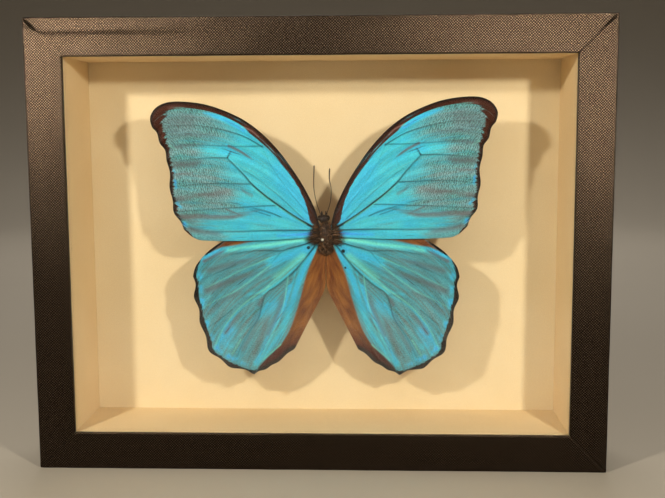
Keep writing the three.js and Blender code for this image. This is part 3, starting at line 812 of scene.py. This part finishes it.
def scaled_wing():
    """Upper side: rows of overlapping scales. Their colour is mixed from the shares on the mesh. A noise
    drawn out along the veins breaks the blue into streaks and frays the dark border, and where the blue
    thins, ripples across the veins show the rows of scales."""
    made, tree, shader = new_finish("blue_scales", Roughness=0.5, Specular_IOR_Level=0.05)
    place = node(tree, "TexCoord")
    shares = {}
    for name in ("bright", "hue", "dusk", "vein", "pale", "brown", "border", "rim", "flap_rim", "tail",
                 "calm"):
        shares[name] = node(tree, "Attribute", attribute_name=name).outputs["Fac"]

    fan = node(tree, "Mapping", {"Vector": place.outputs["UV"], "Scale": (4.0, 46.0, 1.0)})
    streak = node(tree, "TexNoise", {"Vector": fan, "Scale": 1.0, "Detail": 5.0, "Roughness": 0.6})
    wide = node(tree, "Mapping", {"Vector": place.outputs["UV"], "Scale": (5.0, 12.0, 1.0)})
    cloud = node(tree, "TexNoise", {"Vector": wide, "Scale": 1.0, "Detail": 3.0})
    clouded = node(tree, "MapRange", {"Value": cloud, "From Min": 0.35, "From Max": 0.65})
    slanted = node(tree, "Mapping", {"Vector": place.outputs["UV"], "Rotation": (0, 0, 0.25)})
    ripple = node(tree, "TexWave", {"Vector": slanted, "Scale": 25.0, "Distortion": 9.0, "Detail": 4.0,
                                    "Detail Scale": 2.5}, bands_direction="X")
    speck = node(tree, "TexNoise", {"Vector": place.outputs["Object"], "Scale": 2200.0, "Detail": 2.0})

    shift = node(tree, "Math", {0: streak, 1: 2.4, 2: -1.2}, operation="MULTIPLY_ADD")
    bluish = node(tree, "Math", {0: shares["hue"], 1: 0.7, 2: shift}, operation="MULTIPLY_ADD")
    full = node(tree, "Math", {0: shares["bright"], 1: bluish}, operation="ADD", use_clamp=True)
    thinned = node(tree, "Math", {0: 1.0, 1: full}, operation="SUBTRACT")
    near = node(tree, "Math", {0: shares["hue"], 1: 1.0}, operation="MINIMUM")
    far = node(tree, "Math", {0: shares["hue"], 1: 1.0}, operation="SUBTRACT", use_clamp=True)
    waves = node(tree, "MapRange", {"Value": ripple.outputs["Fac"], "To Min": 0.45, "To Max": 1.6})
    faint = node(tree, "Mix", {0: shares["calm"], 2: waves, 3: 0.52})
    thin = node(tree, "Mix", {0: clouded, 6: "#52949A", 7: "#72929C"}, data_type="RGBA")
    rippled = node(tree, "VectorMath", {0: thin, "Scale": faint}, operation="SCALE")
    turquoise = node(tree, "Mix", {0: clouded, 6: "#3AB0D8", 7: "#47C2D8"}, data_type="RGBA")
    ragged = node(tree, "Math", {0: streak, 1: 3.0, 2: shares["border"]}, operation="MULTIPLY_ADD")
    margin = node(tree, "MapRange", {"Value": ragged, "From Min": 1.85, "From Max": 2.15})
    light = node(tree, "Mix", {0: margin, 6: "#7CE8D4", 7: "#B8989A"}, data_type="RGBA")
    dusk_edge = node(tree, "Math", {0: shares["dusk"], 1: streak}, operation="MULTIPLY")
    dusky = node(tree, "MapRange", {"Value": dusk_edge, "From Min": 0.08, "From Max": 0.5, "To Max": 0.8})
    flap = node(tree, "Mix", {0: clouded, 6: "#61331B", 7: "#8F5D2D"}, data_type="RGBA")
    flap_end = node(tree, "Mix", {0: shares["tail"], 6: flap, 7: "#3E0E08"}, data_type="RGBA")
    brown = node(tree, "Mix", {0: shares["flap_rim"], 6: flap_end, 7: "#060302"}, data_type="RGBA")
    edge = node(tree, "Mix", {0: shares["rim"], 6: "#3A1A0E", 7: "#0C0504"}, data_type="RGBA")
    scales = turquoise
    for share, tint in ((near, "#3CB0E6"), (far, "#4070E8"), (thinned, rippled), (dusky, "#625458"),
                        (shares["brown"], brown), (margin, edge), (shares["vein"], "#0A2029"),
                        (shares["pale"], light)):
        scales = node(tree, "Mix", {0: share, 6: scales, 7: tint}, data_type="RGBA")
    grain = node(tree, "MapRange", {"Value": speck, "From Min": 0.3, "From Max": 0.7, "To Min": 0.82,
                                    "To Max": 1.14})
    finished = node(tree, "VectorMath", {0: scales, "Scale": grain}, operation="SCALE")
    metal = node(tree, "MapRange", {"Value": full, "To Min": 0.02, "To Max": 0.12})
    bump = node(tree, "Bump", {"Height": ripple.outputs["Fac"], "Distance": 0.00003, "Strength": 0.5})
    connect(tree, shader, {"Base Color": finished, "Metallic": metal, "Normal": bump})
    return made


def wing_underside():
    """Underside: matt brown scales in clouds, with the veins a little paler."""
    made, tree, shader = new_finish("brown_scales", Roughness=0.7)
    place = node(tree, "TexCoord")
    wide = node(tree, "Mapping", {"Vector": place.outputs["UV"], "Scale": (4.0, 16.0, 1.0)})
    cloud = node(tree, "TexNoise", {"Vector": wide, "Scale": 1.0, "Detail": 5.0})
    brown = node(tree, "Mix", {0: cloud, 6: "#3A2418", 7: "#8C6848"}, data_type="RGBA")
    vein = node(tree, "Attribute", attribute_name="vein")
    shade = node(tree, "Mix", {0: vein.outputs["Fac"], 6: brown, 7: "#A88A64"}, data_type="RGBA")
    connect(tree, shader, {"Base Color": shade})
    return made


def set_in_place(flat, height, side, drop, turn):
    """Mirrors a wing to its side and turns it about the body: first by `turn` about z, then by its rise
    about y, then by its lean about x."""
    points = np.stack([side * flat[:, 0], flat[:, 1], height - drop], -1)
    for angle, axis in ((turn, "Z"), (-side * WING_RISE, "Y"), (WING_LEAN, "X")):
        points = points @ np.array(Matrix.Rotation(math.radians(angle), 3, axis)).T
    return points + [BODY_X, 0, WING_Z]


def wing_height(wing, flat, u, v):
    """Height of the membrane: raised at the veins, creased along the pale folds, and pleated across the
    fan by two waves that grow from the root, over a slow wave of the whole wing."""
    veins, folds = strokes(flat, wing["veins"]), strokes(flat, wing["pale"])
    pleats = (PLEAT_H * np.sin(2 * math.pi * (6.5 * v + 0.3 * u)) * u
              + FINE_PLEAT_H * np.sin(2 * math.pi * (15 * v + u)) * u)
    wave = WAVE_H * np.sin(3 * flat[:, 0] / 20) * np.sin(flat[:, 1] / 11) * u
    return pleats + wave + VEIN_H * veins - CREASE_H * folds


blue_scales, brown_scales = scaled_wing(), wing_underside()
rows, columns = WING_GRID
# a wing is one grid of points above and one below, with a rim of quads between them
index = np.arange(rows * columns).reshape(rows, columns)
rim = np.concatenate([index[0, :-1], index[:-1, -1], index[-1, :0:-1], index[:0:-1, 0]])
rim_faces = np.stack([rim, np.roll(rim, -1), np.roll(rim, -1) + index.size, rim + index.size], -1)
top_faces = grid_faces(rows, columns, False)
u_share = np.repeat(np.linspace(0, 1, rows), columns)
v_share = np.tile(np.linspace(0, 1, columns), rows)
for kind, wing, drop, turn in (("hindwing", HINDWING, HINDWING_DROP, 0),
                               ("forewing", FOREWING, 0, FOREWING_TURN)):
    flat = membrane(wing).reshape(-1, 2)
    height = wing_height(wing, flat, u_share, v_share)
    pattern = wing_pattern(kind, wing, flat)
    for side, hand in ((-1, "left"), (1, "right")):
        faces = [top_faces[:, ::side], (top_faces + index.size)[:, ::-side], rim_faces[:, ::-side]]
        points = np.concatenate([set_in_place(flat, height + half, side, drop, turn)
                                 for half in (WING_T / 2, -WING_T / 2)])
        uv = np.stack([np.tile(u_share, 2), np.tile(v_share, 2)], -1)
        made = add_piece(f"{kind}_{hand}_scaled", points, faces, [blue_scales, brown_scales], "wing_scales",
                         [f"{kind}_{hand}"], uv)
        below = np.repeat([0, 1, 0], [len(f) for f in faces]).astype(np.int32)
        made.data.polygons.foreach_set("material_index", below)
        for name, shares in with_spots(pattern, flat, wing["spots"][hand]).items():
            attribute = made.data.attributes.new(name, "FLOAT", "POINT")
            attribute.data.foreach_set("value", np.tile(shares, 2).astype(np.float32))

# ---- antennae ------------------------------------------------------------------------------------
# Two dark feelers of chitin, thin as a hair, that grow from the front of the head. Each has some forty
# short joints and thickens slowly into a slim club. They were set in a narrow V before they dried.

ANTENNA_R = 0.2
ANTENNA_JOINTS = 40
ANTENNA_SIDES = 10


def feeler(bends):
    """A tube along the bends, whose radius grows towards the tip and pinches in at each joint. Its rings
    stand square to the curve's tangent."""
    line = spline(bends, 40)
    way = unit(np.gradient(line, axis=0))
    share = np.linspace(0, 1, len(line))
    club = 0.7 + 0.75 * smooth(share, 0.6, 0.95)
    pinched = 1 + 0.08 * np.cos(2 * math.pi * ANTENNA_JOINTS * share)
    radius = ANTENNA_R * club * pinched * np.sqrt(np.clip((1 - share) / 0.03, 0.05, 1))
    angle = np.linspace(0, 2 * math.pi, ANTENNA_SIDES, endpoint=False)
    ring = circles(way, unit(np.cross(way, [0, 0, 1.0])), angle)
    points = (line[:, None] + ring * radius[:, None, None]).reshape(-1, 3)
    ends = np.arange(ANTENNA_SIDES)
    faces = [grid_faces(len(line), ANTENNA_SIDES, True), ends[None, ::-1],
             ends[None] + (len(line) - 1) * ANTENNA_SIDES]
    uv = np.stack([np.repeat(share, ANTENNA_SIDES), np.tile(angle, len(line))], -1)
    return points + [BODY_X, 0, WING_Z], faces, uv


def feeler_finish():
    """Dark brown chitin, ringed a little paler at the joints."""
    made, tree, shader = new_finish("antenna_chitin", Roughness=0.4)
    flat = node(tree, "TexCoord").outputs["UV"]
    rings = node(tree, "TexWave", {"Vector": flat, "Scale": ANTENNA_JOINTS / 2.0}, bands_direction="X")
    shade = node(tree, "Mix", {0: rings.outputs["Fac"], 6: "#1A110B", 7: "#3E2A1C"}, data_type="RGBA")
    connect(tree, shader, {"Base Color": shade})
    return made


antenna_brown = feeler_finish()
for hand, bends in (("left", [(-2.0, 11.8, -1.2), (-2.6, 13.6, -0.8), (-4, 18.6, 0.6), (-4.8, 24.6, 1.6),
                              (-4.5, 33.2, 2.4)]),
                    ("right", [(0.4, 11.8, -1.2), (0.9, 13.9, -0.8), (2.1, 17.9, 0.4), (2.5, 23.1, 1.4),
                               (1.8, 27.2, 2), (1.9, 31.9, 2.4)])):
    points, faces, uv = feeler(bends)
    add_piece(f"antenna_{hand}_jointed", points, faces, [antenna_brown], "antenna", [f"antenna_{hand}"], uv)

# ---- back panel ----------------------------------------------------------------------------------
# A sheet of tempered hardboard, pressed brown wood fibre, closes the back. Its face is smooth and
# faintly flecked with fibres.


def hardboard():
    """Pressed fibre: short flecks of darker fibre on a mid brown, satin from the hot press."""
    made, tree, shader = new_finish("tempered_hardboard", Roughness=0.5)
    place = node(tree, "TexCoord").outputs["Object"]
    fleck = node(tree, "TexNoise", {"Vector": place, "Scale": 900.0, "Detail": 6.0, "Roughness": 0.7})
    cloud = node(tree, "TexNoise", {"Vector": place, "Scale": 30.0, "Detail": 3.0})
    mixed = node(tree, "Math", {0: fleck, 1: cloud}, operation="MULTIPLY")
    tone = node(tree, "MapRange", {"Value": mixed, "From Min": 0.02, "From Max": 0.42})
    shade = node(tree, "Mix", {0: tone, 6: "#4A3020", 7: "#8A6242"}, data_type="RGBA")
    bump = node(tree, "Bump", {"Height": fleck, "Distance": 0.00005, "Strength": 0.5})
    connect(tree, shader, {"Base Color": shade, "Normal": bump})
    return made


refinish("back_panel", hardboard())

# ---- framer's points -----------------------------------------------------------------------------
# Six flat tabs of rolled steel, pressed into the rails from a point driver. A shallow rib stiffens each
# one, and their free ends are rounded off.


def tab(node_name):
    """A thin plate over the node's box: its outline is a superellipse, (|cos| and |sin|) to the power
    0.35, and a rib along the middle stands up by a bell curve."""
    low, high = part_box(node_name)
    middle, half = (low + high) / 2 * MM, (high - low) / 2 * MM
    angle = np.linspace(0, 2 * math.pi, 48, endpoint=False)
    edge = np.stack([np.sign(np.cos(angle)) * np.abs(np.cos(angle)) ** 0.35,
                     np.sign(np.sin(angle)) * np.abs(np.sin(angle)) ** 0.35], -1)
    levels = np.array([1.0, 0.9, 0.7, 0.45, 0.2])
    rings = (levels[:, None, None] * edge).reshape(-1, 2)
    flat = np.concatenate([rings, [[0, 0]]]) * [half.x, half.z]
    across = flat[:, 0] if half.z > half.x else flat[:, 1]
    rib = 0.25 * np.exp(-(across / 0.7) ** 2)
    y_middle = middle.z - MM * (cad_low.z + cad_high.z) / 2
    back = MM * cad_low.y - MM * high.y
    sheets = [np.column_stack([flat + [middle.x, y_middle], back + level + shift * rib])
              for level, shift in ((0.0, -1.0), (2 * half.y, -1.0))]
    around, count = len(edge), len(flat)
    here = np.arange(around)
    after = (here + 1) % around
    quads = grid_faces(len(levels), around, True)
    hub = np.stack([here + (len(levels) - 1) * around, after + (len(levels) - 1) * around,
                    np.full(around, count - 1)], -1)
    wall = np.stack([here, here + count, after + count, after], -1)
    return np.concatenate(sheets), [quads, hub, quads[:, ::-1] + count, hub[:, ::-1] + count, wall]


for place in ("top_left", "top_right", "bottom_left", "bottom_right", "left", "right"):
    points, faces = tab("framer_point_" + place)
    add_piece("steel_tab_" + place, points, faces, [steel], "steel", ["framer_point_" + place])

# ---- hanger --------------------------------------------------------------------------------------
# A saw-tooth hanger stamped from brass-plated steel strip, held to the back panel by two small nails, so
# that the frame can hang level on a wall nail.

brass = brushed_metal("brass_plate", ("#B08C48", "#E6C47C"), 0.32, 0)
refinish("hanger_plate", brass)
for hand in ("left", "right"):
    low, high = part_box("hanger_nail_" + hand)
    radius = MM * (high.x - low.x) / 2
    top = MM * (high.y - low.y) + 0.25
    nail_angle = np.linspace(0, math.pi / 2, 8)
    nail = [(0, 0), (radius, 0), (radius, top - 0.45),
            *zip(1.4 * radius * np.cos(nail_angle[:-1]), top - 0.4 + 0.4 * np.sin(nail_angle[:-1])),
            (0, top)]
    points, faces = turned(nail, 24)
    nail_x, nail_y = MM * (low.x + high.x) / 2, MM * (low.z + high.z - cad_low.z - cad_high.z) / 2
    points = points * [1, 1, -1] + [nail_x, nail_y, MM * (cad_low.y - low.y)]
    add_piece("nail_" + hand, points, faces, [brass], "brass_plated", ["hanger_nail_" + hand])

# ---- stage, lamps and camera ---------------------------------------------------------------------
# A pale floor that rises all round in a wide cove. Two small soft lamps stand at both sides in front of
# the frame, above it and at arm's length, and a second lamp at the place of each lights only the shine.
# A large soft lamp hangs overhead behind the frame, and a wide one in front fills the shadows.

COVE_R, COVE_H, COVE_BEND = 1.7, 1.3, 0.6             # metres
COVE_SIDES = 72
LAMP_SIZE, LAMP_POWER = 0.030, 1.04                   # of the small lamps, in metres and watts


def cove():
    """A disc whose rim bends up through a quarter circle into a round wall. Its pale matt card has faint
    clouds of tone, so that it doesn't look empty."""
    bend = np.linspace(0, math.pi / 2, 20)[1:]
    radius = np.r_[0.05, 0.3, 0.7, COVE_R - COVE_BEND, COVE_R - COVE_BEND * (1 - np.sin(bend)), COVE_R]
    up = np.r_[0, 0, 0, 0, COVE_BEND * (1 - np.cos(bend)), COVE_H]
    angle = np.linspace(0, 2 * math.pi, COVE_SIDES, endpoint=False)
    points = np.stack([radius[:, None] * np.cos(angle), radius[:, None] * np.sin(angle),
                       np.broadcast_to(up[:, None], (len(up), COVE_SIDES))], -1).reshape(-1, 3)
    mesh = bpy.data.meshes.new("cove")
    quads = grid_faces(len(radius), COVE_SIDES, True)[:, ::-1]
    mesh.from_pydata(points.tolist(), [], quads.tolist() + [list(range(COVE_SIDES))])
    mesh.polygons.foreach_set("use_smooth", np.ones(len(mesh.polygons), bool))
    made, tree, shader = new_finish("pale_card", Roughness=0.8)
    place = node(tree, "TexCoord").outputs["Object"]
    cloud = node(tree, "TexNoise", {"Vector": place, "Scale": 3.0, "Detail": 2.0})
    shade = node(tree, "Mix", {0: cloud, 6: "#B2ABA0", 7: "#BCB5AA"}, data_type="RGBA")
    connect(tree, shader, {"Base Color": shade})
    mesh.materials.append(made)
    floor = bpy.data.objects.new("cove", mesh)
    bpy.context.scene.collection.objects.link(floor)


def lamp(name, place, aim, size, power, tint, spread=180):
    """A round soft lamp at a place, aimed at a point, over a cone in degrees. Glass doesn't show it."""
    data = bpy.data.lights.new(name, "AREA")
    data.shape, data.size, data.energy, data.color = "DISK", size, power, colour(tint)[:3]
    data.spread = math.radians(spread)
    made = bpy.data.objects.new(name, data)
    made.location = place
    made.rotation_euler = (Vector(aim) - Vector(place)).to_track_quat("-Z", "Y").to_euler()
    made.visible_transmission = False
    bpy.context.scene.collection.objects.link(made)
    return made


cove()
FRAME_MIDDLE = (0, 0, cad_high.z / 2)
for hand, place, power in (("left", (-0.232, -0.332, 0.276), 1.6),
                           ("right", (0.219, -0.370, 0.247), 1.0)):
    lamp("lamp_" + hand, place, FRAME_MIDDLE, LAMP_SIZE, LAMP_POWER, "#FFF3DC")
    sheen = lamp("sheen_" + hand, place, FRAME_MIDDLE, LAMP_SIZE, power, "#FFF3DC")
    sheen.visible_diffuse = False
lamp("lamp_overhead", (0, 0.9, 1.1), (0, 0.6, 0), 0.9, 3.5, "#FFF7EA", 110)
fill = lamp("lamp_fill", (0, -1.3, 0.45), FRAME_MIDDLE, 1.6, 3.4, "#FFF2E0")
fill.visible_glossy = False

world = bpy.data.worlds.new("soft_room")
bpy.context.scene.world = world
world.use_nodes = True
sky = world.node_tree.nodes.get("Background") or node(world.node_tree, "Background")
connect(world.node_tree, sky, {"Color": "#FFF4E6", "Strength": 0.03})
world.cycles_visibility.glossy = False

LENS_MM, SENSOR_MM = 53.71, 36.0
CAMERA_AT = (0.021504, -0.42090, 0.14052)
CAMERA_AHEAD = Vector((-0.03973, 0.99202, -0.11962))
CAMERA_UP = Vector((-0.00009, 0.11971, 0.99281))
camera_data = bpy.data.cameras.new("camera")
camera_data.lens, camera_data.sensor_width, camera_data.clip_start = LENS_MM, SENSOR_MM, 0.01
camera = bpy.data.objects.new("camera", camera_data)
right = CAMERA_AHEAD.cross(CAMERA_UP).normalized()
up = right.cross(CAMERA_AHEAD).normalized()
turned_to = Matrix((right, up, -CAMERA_AHEAD.normalized())).transposed()
camera.matrix_world = Matrix.Translation(CAMERA_AT) @ turned_to.to_4x4()
bpy.context.scene.collection.objects.link(camera)
bpy.context.scene.camera = camera
bpy.context.scene.view_settings.view_transform = "Standard"
